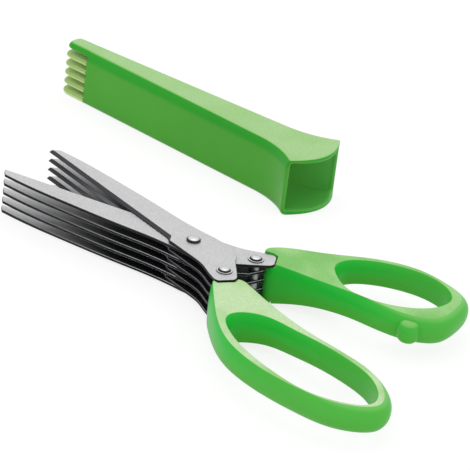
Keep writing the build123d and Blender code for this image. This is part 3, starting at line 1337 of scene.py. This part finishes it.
    def grid(self) -> np.ndarray:
        """Whole ring surface: top face, outer wall, bottom face and hole wall.

        Returns:
            Grid whose last ring runs on into its first.
        """
        outer = self.outer_loop()
        outside = self.wall(outer, [self.swell(outer, end) for end in (self.swell_high, self.swell_low)], 1)
        hole = self.hole_loop(outer)
        scoop = self.swell(hole, self.swell_hole)
        inside = self.wall(hole, (scoop, scoop * self.low_scoop_share), -1)
        share = np.linspace(0, 1, self.cap_rings + 2)[1:-1, None, None]
        caps = []
        for start, end, side in ((inside[0], outside[0], 1), (outside[-1], inside[-1], -1)):
            flat = start[None, :, :2] * (1 - share) + end[None, :, :2] * share
            caps.append(np.concatenate([flat, self.level(flat, side)[..., None]], axis=2))
        return np.concatenate([caps[0], outside, caps[1], inside[::-1]])

    def stop_grid(self) -> np.ndarray:
        """Half-round boss on the wall that faces the other bow.

        Returns:
            Rings from its lower to its upper face.
        """
        radius, root, toward = self.stop_radius, self.stop_root, -self.half.value
        loop = self.outer_loop()
        near = np.abs(loop[:, 0] - self.stop_place) < self.stop_near
        wall = (loop[near, 1] * toward).max() * toward
        front = arc((0.0, self.stop_rise - radius), (radius, radius), 0, 180, steps=28)
        plan = joined(front, [(-radius, -root), (radius, -root)])
        plan = plan * np.array([1, toward]) + np.array([self.stop_place, wall])
        low = self.middle - self.rim_height / 2 + self.stop_lift
        return slab(joined(plan), low, low + self.stop_height, self.stop_round, self.stop_round)

    def build(self, finish: bpy.types.Material) -> None:
        """Builds and dresses the handle.

        Args:
            finish: Material of the plastic.
        """
        angle, word, flipped = self.half.angle, self.half.word, self.half.flipped
        top = STACK.level(self.half, 0)
        bottom = STACK.level(self.half, STACK.pairs - 1) + STACK.thickness
        room = Skin()
        for low, high in ((top, top + STACK.top), (bottom - STACK.top, bottom)):
            span = (-high, -low) if flipped else (low, high)
            room.add(turned(TAIL.pocket(*span), angle, flipped))
        mesh = Skin().add(turned(self.grid(), angle), wrap=True).mesh("moulded_%s_handle" % word)
        mesh = carved(mesh, Skin().add(turned(self.stop_grid(), angle)).mesh("stop"), "UNION")
        mesh = carved(mesh, room.mesh("room"), "DIFFERENCE")
        dressed(mesh, finish, self.half.body, [word + "_handle"], self.sharp)


FINGER_HANDLE = Handle(
    half=Half.FINGER, front=24.9, reach=120.9, depth=36.0, mouth=30.4, outline=(
        (0.216, -0.056), (0.393, -0.069), (0.639, -0.036), (0.872, -0.092), (1.0, -0.458),
        (0.915, -0.806), (0.75, -0.956), (0.56, -1.0), (0.334, -0.917), (0.118, -0.597)),
    hole=(
        (0.222, -0.578), (0.268, -0.339), (0.393, -0.228), (0.535, -0.164), (0.688, -0.142),
        (0.845, -0.226), (0.941, -0.494), (0.845, -0.774), (0.619, -0.889), (0.442, -0.844),
        (0.295, -0.728)),
    corners=(-0.358, -0.061), shift=-0.35, front_top=18.28, lift_fall=27.0,
    stop_rise=5.5, stop_height=6.3, stop_root=2.1,
    swell_high=(0.6, 3.0, 0.55), swell_low=(0.35, 2.0, 0.3), swell_hole=(1.2, 0.4, 0.25))
THUMB_HANDLE = Handle(
    half=Half.THUMB, front=21.2, reach=97.6, depth=46.9, mouth=28.4, outline=(
        (0.194, 0.156), (0.368, 0.203), (0.541, 0.213), (0.735, 0.183), (0.876, 0.205), (0.972, 0.311),
        (1.0, 0.542), (0.948, 0.84), (0.797, 0.966), (0.63, 1.0), (0.445, 0.917), (0.223, 0.678),
        (0.049, 0.431)),
    hole=(
        (0.334, 0.565), (0.387, 0.42), (0.503, 0.292), (0.638, 0.281), (0.774, 0.354), (0.871, 0.499),
        (0.893, 0.682), (0.822, 0.827), (0.696, 0.896), (0.551, 0.874), (0.416, 0.78), (0.348, 0.672)),
    corners=(0.296, 0.102), shift=0.35, front_top=17.9, lift_fall=20.0,
    stop_rise=3.3, stop_height=8.0, stop_root=4.4,
    swell_high=(0.6, 3.0, 0.15), swell_low=(0.35, 2.0, 0.6), swell_hole=(1.1, 0.5, 0.3))


# Cover


@dataclass
class Cover:
    """Blade cover: a tapering box with a flared mouth, closed by a comb of six rounded teeth.

    high_edge and low_edge are the width and the height of the upper and the lower corners, and
    high_taper is how many times wider the upper ones are at the comb end and at the mouth.
    inner_tighten is the share of a corner's size that each millimetre of inset takes away. place is
    the middle of the comb end.
    """

    length: float = 127.5
    height: float = 23.2
    wall: float = 1.9
    end_half: float = 4.5
    waist_half: float = 9.0
    mouth_half: float = 16.0
    flare: float = 21.0
    mouth_bow: float = 6.4
    high_edge: Point = (1.2, 4.8)
    high_taper: Point = (2.1, 1.0)
    low_edge: Point = (1.8, 2.0)
    end_round: float = 3.96
    end_wall: float = 3.0
    inner_tighten: float = 0.4
    bow_power: float = 1.5
    comb_depth: float = 13.3
    comb_pitch: float = 3.9
    slot: float = 1.9
    tooth_round: float = 0.97
    outer_round: float = 1.8
    sink: float = 0.01
    inside_start: float = 1.0
    sharp: float = 34.0
    place: Point = (-142.4, 87.4)

    @property
    def waist(self) -> float:
        """Distance from the comb end at which the cover starts to flare."""
        return self.length - self.flare

    @property
    def comb_top(self) -> float:
        """Level half a slot below the middle of the top tooth."""
        return (self.height + STACK.pairs * self.comb_pitch - self.slot) / 2

    def half_width(self, x: np.ndarray) -> np.ndarray:
        """Half width at a distance from the comb end: a straight taper, then an arc out to the mouth.

        The arc is tangent to the taper at the waist and passes through the corner of the mouth.

        Args:
            x: Distances from the comb end.

        Returns:
            One half width for each distance.
        """
        slope = (self.waist_half - self.end_half) / self.waist
        direction = math.atan(slope)
        chord = np.array([self.flare, self.mouth_half - self.waist_half])
        bend = math.atan2(chord[1], chord[0]) - direction
        radius = np.linalg.norm(chord) / (2 * math.sin(bend))
        turn = np.linspace(0, 2 * bend, 40)
        arc_x = self.waist + radius * (np.sin(direction + turn) - math.sin(direction))
        arc_w = self.waist_half + radius * (math.cos(direction) - np.cos(direction + turn))
        straight = self.end_half + slope * x
        return np.where(x < self.waist, straight, np.interp(x, arc_x, arc_w))

    def section(self, half: np.ndarray, tall: np.ndarray, size: np.ndarray, x: np.ndarray) -> np.ndarray:
        """Rectangles with elliptic corners, taller above than below, one for each station.

        Args:
            half: Half widths of shape (stations, 1).
            tall: Half heights of the same shape.
            size: Share of its full size that each station's corner has, of the same shape.
            x: Distances from the comb end, of the same shape.

        Returns:
            Array of shape (stations, points, 2) with the points across and up.
        """
        turn = np.linspace(0, math.pi / 2, 10)
        corners = []
        for side, above in ((1, 1), (-1, 1), (-1, -1), (1, -1)):
            wide, high = (self.high_width(x), self.high_edge[1]) if above > 0 else self.low_edge
            swing = turn if side * above > 0 else turn[::-1]
            y = side * (half - size * wide * (1 - np.cos(swing)))
            z = above * (tall - size * high * (1 - np.sin(swing)))
            corners.append(np.stack([y, z], axis=2))
        part = np.linspace(0, 1, 12, endpoint=False)[1:, None]
        filled = []
        for own, after in zip(corners, corners[1:] + corners[:1]):
            last = own[:, -1:]
            filled += [own, last + (after[:, :1] - last) * part]
        return np.concatenate(filled, axis=1)

    def high_width(self, x: np.ndarray) -> np.ndarray:
        """Width of the upper corners, which narrows evenly from the comb end to the mouth."""
        wide, narrow = self.high_taper
        return self.high_edge[0] * (wide + (narrow - wide) * np.clip(x / self.length, 0, 1))

    def shell_grid(self) -> np.ndarray:
        """Outer skin from the comb's root to the mouth, round the lip, and the inner skin back.

        Returns:
            Grid of rings, with the comb end's middle at the origin.
        """
        root, inner_end = self.comb_depth, self.comb_depth + self.end_wall
        waist, mouth, lip = self.waist, self.length, self.wall / 2
        out = np.r_[np.linspace(root, waist, 24, endpoint=False), np.linspace(waist, mouth, 30)]
        back = np.r_[np.linspace(mouth, waist, 24, endpoint=False), np.linspace(waist, inner_end, 20)]
        turn = np.linspace(0, math.pi, 9)[1:-1]
        x = np.r_[out, np.full(len(turn), mouth), back]
        inset = np.r_[np.zeros(len(out)), lip * (1 - np.cos(turn)), np.full(len(back), self.wall)]
        swell = np.r_[np.zeros(len(out)), lip * np.sin(turn), np.zeros(len(back))]
        half, tall = self.half_width(x) - inset, self.height / 2 - inset
        size = 1 - inset * self.inner_tighten
        across = self.section(half[:, None], tall[:, None], size[:, None], x[:, None])
        fade = np.clip((x - waist) / self.flare, 0, 1)[:, None] ** self.bow_power
        bow = self.mouth_bow * (1 - (across[..., 0] / half[:, None]) ** 2) * fade
        along = x[:, None] + bow + swell[:, None] - lip * fade
        return np.stack([along, across[..., 0], across[..., 1] + self.height / 2], axis=2)

    def tooth_loop(self) -> np.ndarray:
        """Plan outline of one tooth, from inside the end block to its rounded tip.

        Returns:
            Closed loop of points.
        """
        root = self.comb_depth + self.end_wall / 2
        low, high = self.end_half, float(self.half_width(np.array([root]))[0])
        loop = joined([(0.0, -low), (root, -high), (root, high), (0.0, low)])
        for corner in ((0.0, -low), (0.0, low)):
            loop = rounded(loop, corner, self.end_round, steps=14)
        return loop

    def top_tooth(self, loop: np.ndarray, low: float) -> np.ndarray:
        """Rings of the uppermost tooth: a quarter round below and the cover's own corner above.

        Args:
            loop: Plan outline of the tooth.
            low: Level of its underside.

        Returns:
            Grid of rings. Points inside the end block keep their place along the cover.
        """
        wide, high = self.high_width(np.array([self.comb_depth]))[0], self.high_edge[1]
        first = math.asin(1 - (self.height - low - self.tooth_round) / high)
        swing = np.linspace(first, math.pi / 2, 10)[1:]
        edge = self.tooth_round * (1 - np.sin(QUARTER)) + wide * (1 - math.cos(first))
        rise = low + self.tooth_round * (1 - np.cos(QUARTER))
        insets = np.r_[edge, wide * (1 - np.cos(swing))]
        levels = np.r_[rise, self.height - self.sink - high * (1 - np.sin(swing))]
        grid = rings(loop, insets[:, None], levels[:, None])
        at_root = loop[:, 0] > self.comb_depth
        grid[:, at_root, 0] = loop[at_root, 0]
        return grid

    def teeth(self) -> Skin:
        """All six teeth; the outer two carry the edge of the cover.

        Returns:
            One skin with all of them, in place.
        """
        made, loop, half = Skin(), self.tooth_loop(), (self.comb_pitch - self.slot) / 2
        for index in range(STACK.pairs + 1):
            middle = self.height / 2 + (index - STACK.pairs / 2) * self.comb_pitch
            low, high = middle - half, middle + half
            if index == 0:
                grid = slab(loop, 0.0, high, self.outer_round, self.tooth_round)
            elif index < STACK.pairs:
                grid = slab(loop, low, high, self.tooth_round, self.tooth_round)
            else:
                grid = self.top_tooth(loop, low)
            made.add(grid + np.array([*self.place, 0.0]))
        return made

    def build(self) -> None:
        """Builds and dresses the cover."""
        root = self.place[0] + self.comb_depth
        # The cover's inside: painted light, brightest at the deep end.
        inside = Hollow(
            axis=(self.place[1], self.height / 2), start=root + self.inside_start,
            end=self.place[0] + self.length, lit_deep_colour=shade(160, 246, 130),
            mouth_colour=shade(84, 172, 72))
        # Comb teeth: paler tones painted on as painted light, the palest on what faces down.
        comb = Comb(root, self.comb_top, tone=shade(172, 194, 124), lit_underside_tone=shade(222, 240, 168))
        # The lower wall, shoulder and crease colours are painted shade, reflection and highlight; the paler
        # faces are partly painted sheen.
        finish = MouldedPlastic(
            "cover_plastic", wall=shade(78, 163, 54), shaded_low_wall=shade(80, 164, 54),
            shoulder=shade(46, 158, 42), crease_highlight=shade(120, 190, 92), face=shade(154, 198, 127),
            pale_face=shade(161, 202, 137), face_roughness=0.42, wall_roughness=0.30,
            grain=0.012).material(inside, comb)
        shell = Skin().add(self.shell_grid() + np.array([*self.place, 0.0])).mesh("flared_blade_cover")
        mesh = carved(shell, self.teeth().mesh("teeth"), "UNION")
        dressed(mesh, finish, "cover", ["blade_cover"], self.sharp)


# Studio


@dataclass
class Studio:
    """Camera of the photograph, pale floor, one soft lamp and white surroundings.

    target, distance and sensor are in millimetres, and the clipping, the floor and the lamp in metres.
    """

    target: Triple = (6.542, 15.604, 18.1)
    azimuth: float = 37.199
    elevation: float = 26.698
    roll: float = 7.290
    distance: float = 1200.0
    focal_pixels: float = 3292.9
    frame_pixels: float = 470.0
    sensor: float = 36.0
    clip: Point = (0.05, 20.0)
    floor_half: float = 3.0
    floor_tone: Colour = (0.88, 0.88, 0.88, 1.0)
    white: Colour = (1.0, 1.0, 1.0, 1.0)
    floor_glow: float = 1.06
    glow_share: float = 0.78
    lamp_place: Triple = (-0.25, 0.35, 0.9)
    lamp_aim: Triple = (0.0, 0.03, 0.01)
    lamp_side: float = 0.6
    lamp_power: float = 0.9

    def camera(self) -> None:
        """Places the camera at the photograph's viewpoint."""
        a, e, r = (math.radians(v) for v in (self.azimuth, self.elevation, self.roll))
        right = np.array([math.cos(a), math.sin(a), 0.0])
        back = np.array([math.sin(a) * math.cos(e), -math.cos(a) * math.cos(e), math.sin(e)])
        up = np.cross(back, right)
        across = math.cos(r) * right + math.sin(r) * up
        above = -math.sin(r) * right + math.cos(r) * up
        data = bpy.data.cameras.new("camera")
        data.sensor_width, data.lens = self.sensor, self.focal_pixels / self.frame_pixels * self.sensor
        data.clip_start, data.clip_end = self.clip
        place = (np.array(self.target) + back * self.distance) * METRE
        item = linked("camera", data)
        item.matrix_world = Matrix([*zip(across, above, back, place), (0, 0, 0, 1)])
        bpy.context.scene.camera = item

    @staticmethod
    def seen(graph: Graph) -> Val:
        """1 for rays that show the background: from the camera, a reflection or glass.

        Args:
            graph: Graph of the floor's material.

        Returns:
            The largest of the three.
        """
        kinds = ("Is Camera Ray", "Is Glossy Ray", "Is Transmission Ray")
        camera, gloss, glass = (graph.node("ShaderNodeLightPath", None, None, kind) for kind in kinds)
        return graph.math("MAXIMUM", graph.math("MAXIMUM", camera, gloss), glass)

    def floor(self) -> None:
        """Lays a plain pale floor that keeps the object's shadow."""
        graph = Graph("pale_floor")
        plain = graph.node("ShaderNodeBsdfDiffuse", None, {"Color": self.floor_tone})
        glow = graph.node("ShaderNodeEmission", None, {"Color": self.white, "Strength": self.floor_glow})
        share = self.seen(graph) * self.glow_share
        mixed = graph.node("ShaderNodeMixShader", None, {0: share, 1: plain, 2: glow})
        graph.node("ShaderNodeOutputMaterial", None, {"Surface": mixed})
        mesh = bpy.data.meshes.new("floor")
        half, low = self.floor_half, CAD_BOX[0].z
        corners = [(x * half, y * half, low) for x, y in ((-1, -1), (1, -1), (1, 1), (-1, 1))]
        mesh.from_pydata(corners, [], [(0, 1, 2, 3)])
        mesh.materials.append(graph.owner)
        item = linked("floor", mesh)

    def world(self) -> None:
        """White surroundings that light the object at a plain level."""
        graph = Graph("surroundings", "worlds")
        back = graph.node("ShaderNodeBackground", None, {"Color": self.white, "Strength": 1.0})
        graph.node("ShaderNodeOutputWorld", None, {"Surface": back})
        bpy.context.scene.world = graph.owner

    def lamp(self) -> None:
        """Hangs one soft square lamp above the object."""
        data = bpy.data.lights.new("top_lamp", "AREA")
        data.shape, data.size, data.energy = "SQUARE", self.lamp_side, self.lamp_power
        item = linked("top_lamp", data)
        item.location = self.lamp_place
        item.rotation_mode = "QUATERNION"
        facing = Vector(self.lamp_place) - Vector(self.lamp_aim)
        item.rotation_quaternion = facing.to_track_quat("Z", "Y")

    def build(self) -> None:
        """Builds the whole studio."""
        self.camera()
        self.floor()
        self.world()
        self.lamp()
        bpy.context.scene.view_settings.view_transform = "Standard"


def dress_washers() -> None:
    """Gives the washers, which stay as CAD nodes, their turned finish."""
    finish = TurnedSteel("turned_washer_steel").material()
    for name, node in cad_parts.items():
        if "spacer" in name:
            node.data.materials.clear()
            node.data.materials.append(finish)
            LOG.info("%s: CAD node with a new finish", name)


def main() -> None:
    logging.basicConfig(level=logging.INFO, format="%(message)s")
    Studio().build()
    # The lower wall, shoulder and crease colours are painted shade, reflection and highlight; the paler
    # faces are partly painted sheen.
    green = MouldedPlastic(
        "finger_handle_plastic", wall=shade(56, 184, 62), shaded_low_wall=shade(76, 176, 54),
        shoulder=shade(38, 186, 58), crease_highlight=shade(110, 194, 92), face=shade(150, 202, 124),
        pale_face=shade(192, 220, 170), far_wall=shade(86, 180, 68))
    deep_green = replace(
        green, name="thumb_handle_plastic", face=shade(128, 191, 104), pale_face=shade(156, 207, 132))
    FINGER_HANDLE.build(green.material())
    THUMB_HANDLE.build(deep_green.material())
    Blades().build()
    Rivets().build()
    Cover().build()
    dress_washers()


if __name__ == "__main__":
    main()
